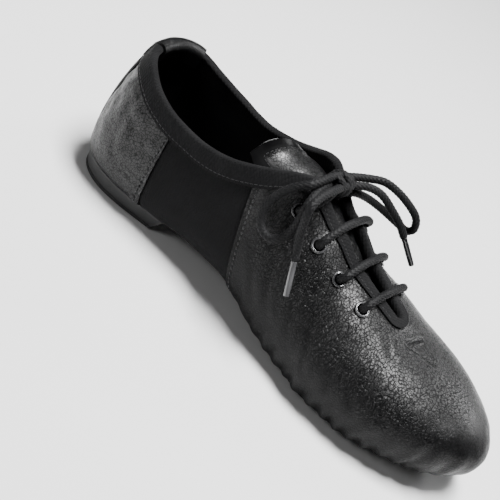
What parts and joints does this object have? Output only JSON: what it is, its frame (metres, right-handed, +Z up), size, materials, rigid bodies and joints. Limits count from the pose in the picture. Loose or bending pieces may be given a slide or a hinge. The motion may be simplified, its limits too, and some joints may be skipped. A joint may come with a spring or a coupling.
{
  "type": "jazz shoe",
  "caption": "Low lace-up jazz shoe for the right foot, pleated leather upper with stretch arch inserts, bound collar, split sole and low heel block.",
  "frame": {"origin": "middle of the shoe's box, bow left out, at floor level", "axes": "+X towards the toe, +Y towards the inner (medial) side, +Z up"},
  "size_m": [0.2516, 0.0846, 0.0877],
  "materials": {
    "black_leather": "semi-gloss pebbled grain",
    "black_tape": "matte folded tape",
    "black_lining": "matte",
    "black_rubber": "matte",
    "dark_metal": "blackened, with a bright worn rim",
    "black_braid": "round braid",
    "lace_tip": "clear tip over dark braid"
  },
  "bodies": {
    "root": {"upper": "black_leather", "insole": "black_lining", "forefoot_sole": "black_rubber", "heel_block": "black_rubber", "tongue": "black_leather", "collar_binding": "black_tape", "heel_tab": "black_leather", "back_strap": "black_leather", "eyelet_lateral_1": "dark_metal", "eyelet_lateral_2": "dark_metal", "eyelet_lateral_3": "dark_metal", "eyelet_lateral_4": "dark_metal", "eyelet_medial_1": "dark_metal", "eyelet_medial_2": "dark_metal", "eyelet_medial_3": "dark_metal", "eyelet_medial_4": "dark_metal", "lace_bar_1": "black_braid", "lace_bar_2": "black_braid", "lace_bar_3": "black_braid", "lace_top_lateral": "black_braid", "lace_top_medial": "black_braid", "lace_knot": "black_braid", "lace_loop_lateral": "black_braid", "lace_loop_medial": "black_braid", "lace_end_lateral": "black_braid", "lace_end_medial": "black_braid", "aglet_lateral": "lace_tip", "aglet_medial": "lace_tip"}
  },
  "joints": []
}
